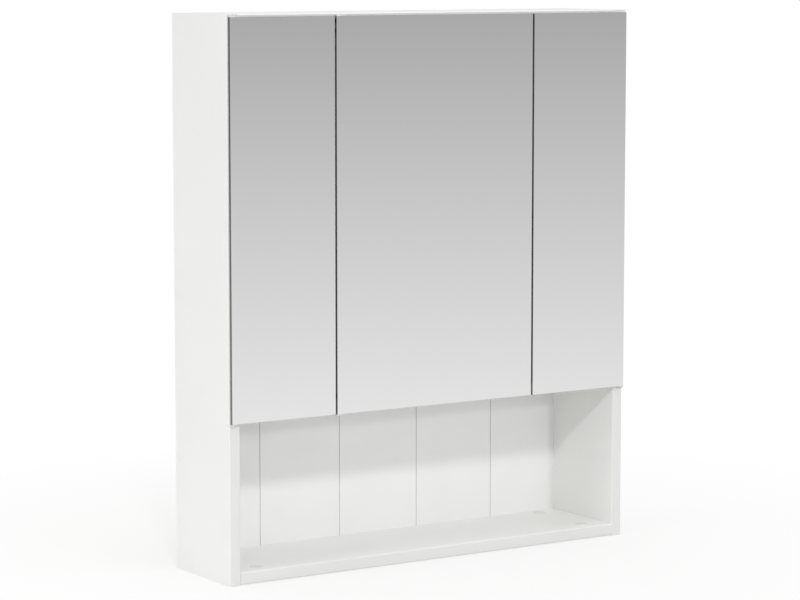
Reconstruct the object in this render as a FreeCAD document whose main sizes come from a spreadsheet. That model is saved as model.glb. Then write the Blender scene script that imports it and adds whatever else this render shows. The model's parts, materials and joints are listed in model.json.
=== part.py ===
"""Wall-hung mirror cabinet: a white board carcass with an open niche under three mirror doors.

Millimetres. X runs to the right, Y towards the wall, Z up; the origin is the bottom centre of the box.
"""
import FreeCAD, Part
import os
from types import SimpleNamespace

import Sketcher

Vector = FreeCAD.Vector
CLOSE = FreeCAD.Base.Precision.confusion()

doc = FreeCAD.newDocument("mirror_cabinet")
sheet = doc.addObject("Spreadsheet::Sheet", "Sizes")
pieces = []


class Size:
    """A length: its number now, and the sheet formula that gives it."""

    def __init__(self, number, formula):
        self.number = number
        self.formula = formula

    def __add__(self, other):
        other = as_size(other)
        return Size(self.number + other.number, f"({self.formula} + {other.formula})")

    def __sub__(self, other):
        other = as_size(other)
        return Size(self.number - other.number, f"({self.formula} - {other.formula})")

    def __mul__(self, factor):
        return Size(self.number * factor, f"({self.formula} * {factor})")

    def __truediv__(self, divisor):
        return Size(self.number / divisor, f"({self.formula} / {divisor})")

    def __neg__(self):
        return Size(-self.number, f"(0 - {self.formula})")


def as_size(value):
    return value if isinstance(value, Size) else Size(value, str(value))


SIZES = {
    # Carcass
    "width": 600,  # overall width
    "height": 700,  # overall height
    "carcass_depth": 137,  # depth of the side panels
    "board": 15,  # thickness of the carcass boards
    "edge_round": 1.5,  # radius along the front edges
    "floor_rise": 1,  # niche floor board above the lower ends of the sides
    "niche_height": 201,  # clear height of the open niche
    "back_thick": 4,  # thickness of the back panel
    "rebate": 8,  # width of the rebate for the back panel
    "back_play": 0.5,  # play of the back panel in each rebate
    "groove_pitch": 120,  # distance between the back panel's grooves
    "groove_width": 1.4,  # width of a groove
    "groove_deep": 2,  # depth of a groove
    "fit": 0.1,  # radial room of a fixed pin, screw or dowel in its hole
    # Doors
    "mirror_thick": 4,  # thickness of the mirror glass
    "mirror_gap": 1,  # gap between the carcass and the mirror glass
    "mirror_grip": 15,  # mirrors' lower edges below the niche ceiling, for the fingers
    "mirror_drop": 3.3,  # mirrors' upper edges below the cabinet's top
    "mirror_inset": 1.4,  # mirrors' outer edges inside the cabinet's sides
    "side_mirror": 148.05,  # width of each outer mirror
    "mirror_split": 2.6,  # gap between neighbouring mirrors
    "arris": 0.5,  # chamfer along the glass edges
    # Corner pivots
    "pivot_inset": 1.7,  # pivot axis from the mirror's edge
    "pin_radius": 1,  # radius of a pivot pin
    "pin_head": 1.6,  # radius of a pivot pin's head
    "pin_head_thick": 0.2,  # thickness of a pivot pin's head
    "pin_running": 0.05,  # radial running clearance of a pivot pin in its shoe
    "pivot_play": 0.3,  # upright gap between a shoe and its bracket
    "shoe_thick": 0.6,  # thickness of a shoe's bonded plate
    "shoe_width": 14,  # width of a shoe's bonded plate
    "shoe_tall": 30,  # height of a shoe's bonded plate
    "shoe_tab": 0.6,  # thickness of a shoe's tab over the glass edge
    "shoe_reach": 6,  # length of a shoe's tab along the glass edge
    "bracket_thick": 1,  # thickness of a pivot bracket
    "bracket_width": 10,  # width of a pivot bracket's leg
    "upper_leg": 26,  # height of an upper pivot bracket
    "lower_leg": 30,  # height of a lower pivot bracket
    "leg_screw_edge": 6,  # screw from the end of a pivot bracket's leg
    "leg_screw_pitch": 12,  # distance between a leg's two screws
    "leg_screw": 1.4,  # radius of a pivot bracket screw
    "leg_screw_deep": 16,  # length of a pivot bracket screw
    "leg_head": 2.8,  # radius of a pivot bracket screw's countersunk head
    # Catches
    "magnet_radius": 1.8,  # radius of a catch magnet
    "magnet_deep": 10,  # length of a catch magnet
    "catch_inset": 2.6,  # catch and bumpers from a mirror's free edge
    "strike_radius": 2.1,  # radius of a strike disc
    "strike_thick": 0.6,  # thickness of a strike disc
    "bumper_radius": 2,  # radius of a door bumper
    "bumper_thick": 0.6,  # thickness of a door bumper
    "bumper_end": 40,  # door bumpers from the ends of a partition
    # Shelves
    "shelf_thick": 12,  # thickness of an adjustable shelf
    "shelf_setback": 14,  # adjustable shelf behind the carcass front
    "shelf_play": 1,  # side play of an adjustable shelf
    "pin_first": 113,  # lowest shelf hole above the niche ceiling board
    "pin_pitch": 32,  # distance between shelf holes
    "pin_front": 32,  # front row of shelf holes behind the carcass front
    "pin_back": 25,  # back row of shelf holes in front of the back panel
    "shelf_pin": 2.5,  # radius of a shelf pin in its hole
    "shelf_pin_deep": 6,  # length of a shelf pin in its hole
    "shelf_peg": 3,  # radius of a shelf pin's peg
    "shelf_peg_long": 8,  # length of a shelf pin's peg
    # Carcass joints
    "cam_in": 34,  # cam centre from the end of its board
    "cam_front": 22,  # front cams behind the carcass front
    "cam_back": 16,  # back cams in front of the back panel
    "cam_radius": 7.5,  # radius of a cam lock
    "cam_deep": 12.5,  # height of a cam lock
    "cap_radius": 8.5,  # radius of a cam cap
    "cap_thick": 0.8,  # thickness of a cam cap
    "bolt_thread": 2.5,  # radius of a cam bolt's threaded end
    "bolt_thread_long": 10,  # length of a cam bolt's threaded end
    "bolt_neck": 2.2,  # radius of a cam bolt's neck
    "bolt_head": 3.4,  # radius of a cam bolt's head
    "bolt_head_long": 4,  # length of a cam bolt's head
    "dowel_radius": 4,  # radius of a dowel
    "dowel_long": 30,  # length of a dowel
    "dowel_in_face": 9,  # length of a dowel in the face it joins
    "nail_radius": 0.8,  # radius of a back panel nail
    "nail_long": 18,  # length of a back panel nail
    "nail_head": 2,  # radius of a back panel nail's head
    "nail_head_thick": 0.8,  # thickness of a back panel nail's head
    "nail_end": 40,  # outermost nails from the ends of a side panel
    "board_nail_end": 90,  # outermost nails from the ends of a cross board
    # Wall brackets
    "angle_leg": 28,  # leg length of a wall bracket
    "angle_tall": 40,  # height of a wall bracket
    "angle_thick": 2,  # thickness of a wall bracket
    "angle_drop": 12,  # wall bracket below the top board
    "wall_hole": 3.25,  # radius of a wall screw hole
    "wall_hole_in": 17,  # wall screw hole from the side panel
    "angle_screw": 1.75,  # radius of a wall bracket screw
    "angle_screw_deep": 11,  # length of a wall bracket screw in the side panel
    "angle_head": 3.4,  # radius of a wall bracket screw's head
    "angle_head_thick": 1.8,  # thickness of a wall bracket screw's head
    "angle_screw_edge": 9,  # wall bracket screws from the bracket's ends
}

# The sheet holds the sizes, and every piece reads them from it
for row, (alias, number) in enumerate(SIZES.items(), start=1):
    sheet.set(f"A{row}", alias.replace("_", " "))
    sheet.set(f"B{row}", str(number))
    sheet.setAlias(f"B{row}", alias)
dim = SimpleNamespace(**{alias: Size(number, f"Sizes.{alias}") for alias, number in SIZES.items()})

# Places that several pieces share
ZERO = as_size(0)
half = dim.width / 2
overall_depth = dim.carcass_depth + dim.mirror_gap + dim.mirror_thick
back = overall_depth / 2
front = back - dim.carcass_depth
panel_front = back - dim.back_thick
inner_depth = dim.carcass_depth - dim.back_thick
inner_width = dim.width - dim.board * 2
floor_top = dim.floor_rise + dim.board
ceiling_low = floor_top + dim.niche_height
ceiling_top = ceiling_low + dim.board
top_low = dim.height - dim.board
mirror_back = front - dim.mirror_gap
mirror_front = mirror_back - dim.mirror_thick
mirror_low = ceiling_low - dim.mirror_grip
mirror_high = dim.height - dim.mirror_drop
axis_y = mirror_front + dim.mirror_thick / 2
centre_mirror = dim.width - (dim.mirror_inset + dim.side_mirror + dim.mirror_split) * 2
split = half - dim.mirror_inset - dim.side_mirror - dim.mirror_split / 2
edge_of_side = half - dim.mirror_inset
edge_of_centre = centre_mirror / 2
RIGHT, LEFT = 1, -1
UP, DOWN = 1, -1
SHELF_HOLES = 8


def bind(obj, path, size):
    obj.setExpression(path, as_size(size).formula)


def place(obj, corner):
    for letter, coordinate in zip("xyz", corner):
        bind(obj, f"Placement.Base.{letter}", coordinate)


def keep(obj, label):
    """Names a finished sub-part and lists it for writing."""
    obj.Label = label
    pieces.append(obj)
    return obj


def sketch_on(body, axis, level):
    """A sketch in a body, square to one of its axes at a level along it."""
    role = {"x": "YZ_Plane", "y": "XZ_Plane", "z": "XY_Plane"}[axis]
    plane = next(item for item in body.Origin.OriginFeatures if item.Role == role)
    sketch = body.newObject("Sketcher::SketchObject", "Sketch")
    sketch.AttachmentSupport = [(plane, "")]
    sketch.MapMode = "FlatFace"
    bind(sketch, "AttachmentOffset.Base.z", -as_size(level) if axis == "y" else level)
    return sketch


def dimension(sketch, kind, size, *ends):
    row = sketch.addConstraint(Sketcher.Constraint(kind, *ends, size.number))
    bind(sketch, f"Constraints[{row}]", size)


def outline(sketch, points):
    """Draws a closed outline whose corners are dimensioned from the sketch's origin."""
    places = [(as_size(u), as_size(v)) for u, v in points]
    corners = [Vector(u.number, v.number, 0) for u, v in places]
    count = len(corners)
    first = sketch.GeometryCount
    for i in range(count):
        sketch.addGeometry(Part.LineSegment(corners[i], corners[(i + 1) % count]), False)
    for i, (u, v) in enumerate(places):
        previous = first + (i - 1) % count
        sketch.addConstraint(Sketcher.Constraint("Coincident", previous, 2, first + i, 1))
        dimension(sketch, "DistanceX", u, -1, 1, first + i, 1)
        dimension(sketch, "DistanceY", v, -1, 1, first + i, 1)


def rectangle(sketch, corner, size):
    u, v = as_size(corner[0]), as_size(corner[1])
    outline(sketch, [(u, v), (u + size[0], v), (u + size[0], v + size[1]), (u, v + size[1])])


def circles(sketch, places, radius):
    """Draws circles of one radius, with their centres dimensioned from the sketch's origin."""
    for u, v in places:
        u, v = as_size(u), as_size(v)
        ring = Part.Circle(Vector(u.number, v.number, 0), Vector(0, 0, 1), radius.number)
        index = sketch.addGeometry(ring, False)
        dimension(sketch, "DistanceX", u, -1, 1, index, 3)
        dimension(sketch, "DistanceY", v, -1, 1, index, 3)
        dimension(sketch, "Radius", radius, index)


def slab(label, size, corner):
    """A body padded up from a rectangle, with its lower front left corner at a place."""
    body = keep(doc.addObject("PartDesign::Body", label), label)
    sketch = sketch_on(body, "z", 0)
    rectangle(sketch, (0, 0), size[:2])
    pad = body.newObject("PartDesign::Pad", "Pad")
    pad.Profile = sketch
    bind(pad, "Length", size[2])
    place(body, corner)
    doc.recompute()
    return body


def cut(body, axis, level, inward, deep, draw, *drawing):
    """Cuts a drawn outline into a body from a level along an axis, and makes sure that it cut."""
    before = body.Shape.Volume
    sketch = sketch_on(body, axis, level)
    draw(sketch, *drawing)
    pocket = body.newObject("PartDesign::Pocket", "Pocket")
    pocket.Profile = sketch
    bind(pocket, "Length", deep)
    pocket.Reversed = (inward > 0) != (axis == "y")
    doc.recompute()
    if body.Shape.Volume >= before:
        raise RuntimeError(f"a cut in {body.Label} removed nothing")


def dress(body, kind, size_name, size, wanted):
    """Rounds or chamfers the edges of a body's last feature that a test picks."""
    base = body.Tip
    names = [f"Edge{i + 1}" for i, edge in enumerate(base.Shape.Edges) if wanted(edge)]
    feature = body.newObject(kind, "Dress")
    feature.Base = (base, names)
    bind(feature, size_name, size)
    doc.recompute()


def round_front(body):
    """Rounds the two long edges of a board's front."""
    in_front = [e for e in body.Tip.Shape.Edges if max(abs(v.Y) for v in e.Vertexes) < CLOSE]
    longest = max(e.Length for e in in_front)

    def wanted(edge):
        at_front = max(abs(v.Y) for v in edge.Vertexes) < CLOSE
        return at_front and abs(edge.Length - longest) < CLOSE

    dress(body, "PartDesign::Fillet", "Radius", dim.edge_round, wanted)


def bar(name, radius, long, direction, start):
    """A round bar from the centre of its first face along a direction."""
    item = doc.addObject("Part::Cylinder", name)
    bind(item, "Radius", radius)
    bind(item, "Height", long)
    item.Placement = FreeCAD.Placement(Vector(), FreeCAD.Rotation(Vector(0, 0, 1), Vector(*direction)))
    place(item, start)
    return item


def countersink(name, wide, narrow, deep, start):
    """A cone from its wide face backwards, for a countersunk head or its seat."""
    item = doc.addObject("Part::Cone", name)
    bind(item, "Radius1", wide)
    bind(item, "Radius2", narrow)
    bind(item, "Height", deep)
    item.Placement = FreeCAD.Placement(Vector(), FreeCAD.Rotation(Vector(0, 0, 1), Vector(0, 1, 0)))
    place(item, start)
    return item


def block(name, start, size, signs):
    """A box that runs from a start corner along the signed axes."""
    item = doc.addObject("Part::Box", name)
    corner = []
    for side, begin, long, sign in zip(("Length", "Width", "Height"), start, size, signs):
        bind(item, side, long)
        corner.append(begin if sign > 0 else begin - long)
    place(item, corner)
    return item


def fused(name, items):
    result = doc.addObject("Part::MultiFuse", name)
    result.Shapes = items
    return result


def without(name, base, tools):
    """A base with one or more tools cut from it."""
    result = base
    for tool in tools:
        remainder = doc.addObject("Part::Cut", f"{name}_cut")
        remainder.Base = result
        remainder.Tool = tool
        result = remainder
    return result


def group(label, items):
    """Identical pieces kept together as separate solids of one sub-part."""
    result = doc.addObject("Part::Compound", label)
    result.Links = items
    return keep(result, label)


# Where the doors turn: door name, mirror's left edge, mirror's width, pivot side, side of the bracket's leg
DOORS = [
    ("left", -edge_of_side, dim.side_mirror, LEFT, RIGHT),
    ("centre", -edge_of_centre, centre_mirror, LEFT, LEFT),
    ("right", split + dim.mirror_split / 2, dim.side_mirror, RIGHT, LEFT),
]
shoe_top = {UP: mirror_high + dim.shoe_tab, DOWN: mirror_low - dim.shoe_tab}
tab_inner = {UP: shoe_top[UP] + dim.pivot_play, DOWN: shoe_top[DOWN] - dim.pivot_play}
tab_outer = {UP: tab_inner[UP] + dim.bracket_thick, DOWN: tab_inner[DOWN] - dim.bracket_thick}
leg_tall = {UP: dim.upper_leg, DOWN: dim.lower_leg}
END_NAMES = {UP: "upper", DOWN: "lower"}


def pivot_x(door):
    name, left_edge, mirror_width, pivot_side, leg_side = door
    return left_edge + dim.pivot_inset if pivot_side == LEFT else left_edge + mirror_width - dim.pivot_inset


def free_x(door):
    """X of the catch and the bumpers, near the mirror's free edge."""
    name, left_edge, mirror_width, pivot_side, leg_side = door
    return left_edge + mirror_width - dim.catch_inset if pivot_side == LEFT else left_edge + dim.catch_inset


def leg_box(door, end):
    """Lower left corner of a pivot bracket's leg, seen from the front."""
    leg_side = door[4]
    tab_edge = pivot_x(door) - dim.mirror_thick / 2 * leg_side
    x = tab_edge if leg_side == RIGHT else tab_edge - dim.bracket_width
    z = tab_outer[end] - leg_tall[end] if end == UP else tab_outer[end]
    return x, z


def leg_screws(door, end):
    """X and Z of a leg's screws; the centre door's lower leg has only the one in the niche ceiling."""
    x, z = leg_box(door, end)
    x = x + dim.bracket_width / 2
    z = z + dim.leg_screw_edge if end == UP else z + leg_tall[end] - dim.leg_screw_edge
    step = dim.leg_screw_pitch if end == UP else -dim.leg_screw_pitch
    return [(x, z)] if door[0] == "centre" and end == DOWN else [(x, z), (x, z + step)]


def let_in_legs(body, corner, legs, screws):
    """Cuts the shallow recesses and the screw holes of pivot brackets into a board's front edge."""
    for door, end in legs:
        x, z = leg_box(door, end)
        start = (x - corner[0] - dim.fit, z - corner[2] - dim.fit)
        size = (dim.bracket_width + dim.fit * 2, leg_tall[end] + dim.fit * 2)
        cut(body, "y", 0, +1, dim.bracket_thick, rectangle, start, size)
    places = [(x - corner[0], z - corner[2]) for x, z in screws]
    cut(body, "y", 0, +1, dim.leg_screw_deep + dim.fit, circles, places, dim.leg_screw + dim.fit)


left_door, centre_door, right_door = DOORS
board_z = {"bottom": dim.floor_rise, "ceiling": ceiling_low, "top": top_low}
shelf_hole_z = [ceiling_top + dim.pin_first + dim.pin_pitch * i for i in range(SHELF_HOLES)]
shelf_rows = [dim.pin_front, inner_depth - dim.pin_back]
cam_rows = [dim.cam_front, inner_depth - dim.cam_back]
dowel_row = (cam_rows[0] + cam_rows[1]) / 2
side_nail_z = [dim.nail_end + (dim.height - dim.nail_end * 2) * i / 5 for i in range(6)]
board_nail_x = [(half - dim.board - dim.board_nail_end) * i for i in (-1, 0, 1)]
nail_in_board = dim.nail_long - dim.back_thick

# Side panels: rebated for the back, bored for cam bolts, dowels, shelf pins and wall bracket screws
angle_low = top_low - dim.angle_drop - dim.angle_tall
angle_screw_y = panel_front - dim.angle_leg / 2 - front
angle_screw_z = [angle_low + dim.angle_screw_edge, angle_low + dim.angle_tall - dim.angle_screw_edge]


def side_panel(label, side, door):
    corner = (-half if side == LEFT else half - dim.board, front, ZERO)
    body = slab(label, (dim.board, dim.carcass_depth, dim.height), corner)
    round_front(body)
    inner, inward = (dim.board, -1) if side == LEFT else (ZERO, +1)
    rebate_x = dim.board - dim.rebate if side == LEFT else ZERO
    cut(body, "z", 0, +1, dim.height, rectangle, (rebate_x, inner_depth), (dim.rebate, dim.back_thick))
    joints = [z + dim.board / 2 for z in board_z.values()]
    cams = [(y, z) for y in cam_rows for z in joints]
    cut(body, "x", inner, inward, dim.bolt_thread_long + dim.fit, circles, cams, dim.bolt_thread + dim.fit)
    dowels = [(dowel_row, z) for z in joints]
    cut(body, "x", inner, inward, dim.dowel_in_face + dim.fit, circles, dowels, dim.dowel_radius + dim.fit)
    shelf_holes = [(y, z) for y in shelf_rows for z in shelf_hole_z]
    cut(body, "x", inner, inward, dim.shelf_pin_deep + dim.fit, circles, shelf_holes, dim.shelf_pin + dim.fit)
    angles = [(angle_screw_y, z) for z in angle_screw_z]
    cut(body, "x", inner, inward, dim.angle_screw_deep + dim.fit, circles, angles, dim.angle_screw + dim.fit)
    legs = [(door, UP), (door, DOWN)]
    let_in_legs(body, corner, legs, leg_screws(door, UP) + leg_screws(door, DOWN))
    nail_x = rebate_x + dim.rebate / 2
    nails = [(nail_x, z) for z in side_nail_z]
    cut(body, "y", inner_depth, -1, nail_in_board + dim.fit, circles, nails, dim.nail_radius + dim.fit)


side_panel("side_panel_left", LEFT, left_door)
side_panel("side_panel_right", RIGHT, right_door)

# Boards between the sides: niche floor, niche ceiling and top, drawn up to the sides by cam locks


def cross_board(label, level, cam_face, partition_face, legs, screws):
    """A board between the sides; its cams open on one face, and partitions stand on one face or none."""
    corner = (-half + dim.board, front, level)
    body = slab(label, (inner_width, inner_depth, dim.board), corner)
    round_front(body)
    middle = dim.board / 2
    cams = [(x, y) for x in (dim.cam_in, inner_width - dim.cam_in) for y in cam_rows]
    cam_level, cam_inward = (dim.board, -1) if cam_face == UP else (ZERO, +1)
    cut(body, "z", cam_level, cam_inward, dim.cam_deep + dim.fit, circles, cams, dim.cam_radius + dim.fit)
    for end, inward in ((ZERO, +1), (inner_width, -1)):
        bolts = [(y, middle) for y in cam_rows]
        cut(body, "x", end, inward, dim.cam_in, circles, bolts, dim.bolt_head + dim.fit)
        in_end = dim.dowel_long - dim.dowel_in_face + dim.fit
        cut(body, "x", end, inward, in_end, circles, [(dowel_row, middle)], dim.dowel_radius + dim.fit)
    if partition_face:
        places = [(half - dim.board + split * side, y) for side in (LEFT, RIGHT) for y in cam_rows]
        face_level, face_inward = (dim.board, -1) if partition_face == UP else (ZERO, +1)
        in_face = dim.dowel_in_face + dim.fit
        cut(body, "z", face_level, face_inward, in_face, circles, places, dim.dowel_radius + dim.fit)
    nails = [(half - dim.board + x, middle) for x in board_nail_x]
    cut(body, "y", inner_depth, -1, nail_in_board + dim.fit, circles, nails, dim.nail_radius + dim.fit)
    if legs:
        let_in_legs(body, corner, legs, screws)


centre_screws = {end: leg_screws(centre_door, end) for end in (UP, DOWN)}
cross_board("niche_floor", board_z["bottom"], UP, None, [], [])
cross_board("niche_ceiling", board_z["ceiling"], UP, UP, [(centre_door, DOWN)], centre_screws[DOWN])
cross_board("top_board", board_z["top"], DOWN, DOWN, [(centre_door, UP)], centre_screws[UP][1:])

# Partitions: stand on dowels between niche ceiling and top, carry shelf pins and the doors' magnets
partition_tall = top_low - ceiling_top
catch_z = (ceiling_top + top_low) / 2


def partition(label, side, doors, legs, screws):
    corner = (split * side - dim.board / 2, front, ceiling_top)
    body = slab(label, (dim.board, inner_depth, partition_tall), corner)
    round_front(body)
    holes = [(y, z - ceiling_top) for y in shelf_rows for z in shelf_hole_z]
    in_end = dim.dowel_long - dim.dowel_in_face + dim.fit
    dowels = [(dim.board / 2, y) for y in cam_rows]
    for level, inward in ((ZERO, +1), (dim.board, -1)):
        cut(body, "x", level, inward, dim.shelf_pin_deep + dim.fit, circles, holes, dim.shelf_pin + dim.fit)
    for level, inward in ((ZERO, +1), (partition_tall, -1)):
        cut(body, "z", level, inward, in_end, circles, dowels, dim.dowel_radius + dim.fit)
    magnets = [(free_x(door) - corner[0], catch_z - ceiling_top) for door in doors]
    cut(body, "y", 0, +1, dim.magnet_deep + dim.fit, circles, magnets, dim.magnet_radius + dim.fit)
    if legs:
        let_in_legs(body, corner, legs, screws)


partition("partition_left", LEFT, [left_door], [(centre_door, UP)], centre_screws[UP][:1])
partition("partition_right", RIGHT, [centre_door, right_door], [], [])

# Back panel: a grooved sheet in the rebates, nailed to the boards
panel_width = inner_width + (dim.rebate - dim.back_play) * 2
panel_tall = dim.height - dim.floor_rise * 2
panel_corner = (-panel_width / 2, panel_front, dim.floor_rise)
panel = slab("back_panel", (panel_width, dim.back_thick, panel_tall), panel_corner)
groove_count = int(inner_width.number / dim.groove_pitch.number)
first_groove = panel_width / 2 - dim.groove_pitch * ((groove_count - 1) / 2)
groove = [
    (first_groove - dim.groove_width / 2, ZERO),
    (first_groove + dim.groove_width / 2, ZERO),
    (first_groove, dim.groove_deep),
]
cut(panel, "z", 0, +1, panel_tall, outline, groove)
grooves = panel.newObject("PartDesign::LinearPattern", "Grooves")
grooves.Originals = [panel.Tip]
across = next(item for item in panel.Origin.OriginFeatures if item.Role == "X_Axis")
grooves.Direction = (across, [""])
grooves.Occurrences = groove_count
bind(grooves, "Length", dim.groove_pitch * (groove_count - 1))
panel.Tip = grooves
doc.recompute()
wall_x = half - dim.board - dim.wall_hole_in
wall_z = angle_low + dim.angle_tall / 2
wall_holes = [(panel_width / 2 + wall_x * side, wall_z - dim.floor_rise) for side in (LEFT, RIGHT)]
cut(panel, "y", 0, +1, dim.back_thick, circles, wall_holes, dim.wall_hole)
side_nail_x = half - dim.board + dim.rebate / 2
nails = [(side_nail_x * side, z) for side in (LEFT, RIGHT) for z in side_nail_z]
nails += [(x, z + dim.board / 2) for z in board_z.values() for x in board_nail_x]
nail_places = [(x + panel_width / 2, z - dim.floor_rise) for x, z in nails]
cut(panel, "y", 0, +1, dim.back_thick, circles, nail_places, dim.nail_radius + dim.fit)
cut(panel, "y", dim.back_thick, -1, dim.nail_head_thick, circles, nail_places, dim.nail_head + dim.fit)

# Mirrors: plain silvered glass with arrised edges
def mirror(door):
    name, left_edge, mirror_width, pivot_side, leg_side = door
    corner = (left_edge, mirror_front, mirror_low)
    body = slab(f"{name}_mirror", (mirror_width, dim.mirror_thick, mirror_high - mirror_low), corner)
    thick = dim.mirror_thick.number

    def on_a_face(edge):
        return abs(edge.Vertexes[0].Y - edge.Vertexes[1].Y) < thick / 2

    dress(body, "PartDesign::Chamfer", "Size", dim.arris, on_a_face)


for door in DOORS:
    mirror(door)

# Corner pivots: a bracket let into the carcass, a pin fixed in its tab and a shoe bonded to the glass
def pivot_shoe(door, end):
    """A plate on the glass back, bent over the glass edge into a tab with the pin's hole."""
    name, pivot_side = door[0], door[3]
    label = f"{name}_{END_NAMES[end]}_shoe"
    x, toward = pivot_x(door), -pivot_side
    glass_edge = mirror_high if end == UP else mirror_low
    plate_size = (dim.shoe_width, dim.shoe_thick, dim.shoe_tall)
    tab_size = (dim.shoe_reach, dim.mirror_thick + dim.shoe_thick, dim.shoe_tab)
    centre = (x, axis_y, glass_edge)
    plate = block(label + "_plate", (x, mirror_back, shoe_top[end]), plate_size, (toward, +1, -end))
    tab = block(label + "_tab", (x, mirror_front, glass_edge), tab_size, (toward, +1, end))
    nose = bar(label + "_nose", dim.mirror_thick / 2, dim.shoe_tab, (0, 0, end), centre)
    hole = bar(label + "_hole", dim.pin_radius + dim.pin_running, dim.shoe_tab, (0, 0, end), centre)
    keep(without(label, fused(label + "_blank", [plate, tab, nose]), [hole]), label)


def pivot_bracket(door, end):
    """A leg flush in the board's edge, bent forward into a round-ended tab past the glass edge."""
    label = f"{door[0]}_{END_NAMES[end]}_bracket"
    x, leg_z = leg_box(door, end)
    leg_size = (dim.bracket_width, dim.bracket_thick, leg_tall[end])
    leg = block(label + "_leg", (x, front, leg_z), leg_size, (+1, +1, +1))
    tab_start = (pivot_x(door) - dim.mirror_thick / 2, axis_y, tab_inner[end])
    tab_size = (dim.mirror_thick, front - axis_y + dim.bracket_thick, dim.bracket_thick)
    tab = block(label + "_tab", tab_start, tab_size, (+1, +1, end))
    centre = (pivot_x(door), axis_y, tab_inner[end])
    nose = bar(label + "_nose", dim.mirror_thick / 2, dim.bracket_thick, (0, 0, end), centre)
    holes = [bar(label + "_hole", dim.pin_radius + dim.fit, dim.bracket_thick, (0, 0, end), centre)]
    for sx, sz in leg_screws(door, end):
        seat = (dim.leg_head + dim.fit, dim.leg_screw + dim.fit, dim.bracket_thick)
        holes.append(countersink(label + "_screw_seat", *seat, (sx, front, sz)))
    keep(without(label, fused(label + "_blank", [leg, tab, nose]), holes), label)


def pivot_pin(door, end):
    """A headed pin through the bracket's tab into the shoe, stopping short of the glass."""
    label = f"{door[0]}_{END_NAMES[end]}_pin"
    centre = (pivot_x(door), axis_y, tab_outer[end])
    stem = bar(label + "_stem", dim.pin_radius, dim.bracket_thick + dim.shoe_tab, (0, 0, -end), centre)
    head = bar(label + "_head", dim.pin_head, dim.pin_head_thick, (0, 0, end), centre)
    keep(fused(label, [stem, head]), label)


for door in DOORS:
    for end in (UP, DOWN):
        pivot_bracket(door, end)
        pivot_pin(door, end)
        pivot_shoe(door, end)

# Catches: a magnet in the partition's edge, a steel disc bonded to the mirror, and soft bumpers
bumpers = []
for door in DOORS:
    x = free_x(door)
    magnet = bar("magnet", dim.magnet_radius, dim.magnet_deep, (0, 1, 0), (x, front, catch_z))
    strike = bar("strike", dim.strike_radius, dim.strike_thick, (0, 1, 0), (x, mirror_back, catch_z))
    keep(magnet, f"{door[0]}_magnet")
    keep(strike, f"{door[0]}_strike")
    for z in (ceiling_top + dim.bumper_end, top_low - dim.bumper_end):
        bumpers.append(bar("bumper", dim.bumper_radius, dim.bumper_thick, (0, -1, 0), (x, front, z)))
group("door_bumpers", bumpers)

# Adjustable shelves on pins
partition_face = split - dim.board / 2
BAYS = [
    ("left", -half + dim.board, -split - dim.board / 2),
    ("centre", -partition_face, partition_face),
    ("right", split + dim.board / 2, half - dim.board),
]
shelf_levels = {"lower": shelf_hole_z[1], "upper": shelf_hole_z[-2]}


def shelf_pin_at(x, y, z, toward):
    """A pin in a hole, with a thicker peg that the shelf lies on."""
    shank = bar("shank", dim.shelf_pin, dim.shelf_pin_deep, (-toward, 0, 0), (x, y, z))
    peg = bar("peg", dim.shelf_peg, dim.shelf_peg_long, (toward, 0, 0), (x, y, z))
    return fused("shelf_pin", [shank, peg])


shelf_pins = []
for bay, left_face, right_face in BAYS:
    for level, z in shelf_levels.items():
        shelf_width = right_face - left_face - dim.shelf_play * 2
        shelf_depth = inner_depth - dim.shelf_setback - dim.shelf_play
        corner = (left_face + dim.shelf_play, front + dim.shelf_setback, z + dim.shelf_peg)
        shelf = slab(f"{bay}_{level}_shelf", (shelf_width, shelf_depth, dim.shelf_thick), corner)
        round_front(shelf)
        for row in shelf_rows:
            shelf_pins.append(shelf_pin_at(left_face, front + row, z, RIGHT))
            shelf_pins.append(shelf_pin_at(right_face, front + row, z, LEFT))
group("shelf_pins", shelf_pins)

# Cam locks, cam bolts, cam caps and dowels of the carcass joints
cams, bolts, caps, dowels = [], [], [], []
for name, low in board_z.items():
    face, outward = (low, DOWN) if name == "top" else (low + dim.board, UP)
    middle = low + dim.board / 2
    for side in (LEFT, RIGHT):
        joint_x = (half - dim.board) * side
        for row in cam_rows:
            y = front + row
            centre = (joint_x - dim.cam_in * side, y, face)
            drum = bar("drum", dim.cam_radius, dim.cam_deep, (0, 0, -outward), centre)
            bolt_start = (joint_x, y, middle)
            mouth_long = dim.cam_in + dim.bolt_head_long
            mouth = bar("mouth", dim.bolt_head + dim.fit, mouth_long, (-side, 0, 0), bolt_start)
            cams.append(without("cam", drum, [mouth]))
            caps.append(bar("cap", dim.cap_radius, dim.cap_thick, (0, 0, outward), centre))
            thread = bar("thread", dim.bolt_thread, dim.bolt_thread_long, (side, 0, 0), bolt_start)
            neck = bar("neck", dim.bolt_neck, dim.cam_in, (-side, 0, 0), bolt_start)
            head_start = (joint_x - dim.cam_in * side, y, middle)
            head = bar("head", dim.bolt_head, dim.bolt_head_long - dim.fit, (-side, 0, 0), head_start)
            bolts.append(fused("bolt", [thread, neck, head]))
        dowel_start = (joint_x + dim.dowel_in_face * side, front + dowel_row, middle)
        dowels.append(bar("dowel", dim.dowel_radius, dim.dowel_long, (-side, 0, 0), dowel_start))
for side in (LEFT, RIGHT):
    for row in cam_rows:
        for face, outward in ((ceiling_top, UP), (top_low, DOWN)):
            start = (split * side, front + row, face - dim.dowel_in_face * outward)
            dowels.append(bar("dowel", dim.dowel_radius, dim.dowel_long, (0, 0, outward), start))
group("cam_locks", cams)
group("cam_bolts", bolts)
group("cam_caps", caps)
group("dowels", dowels)


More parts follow.
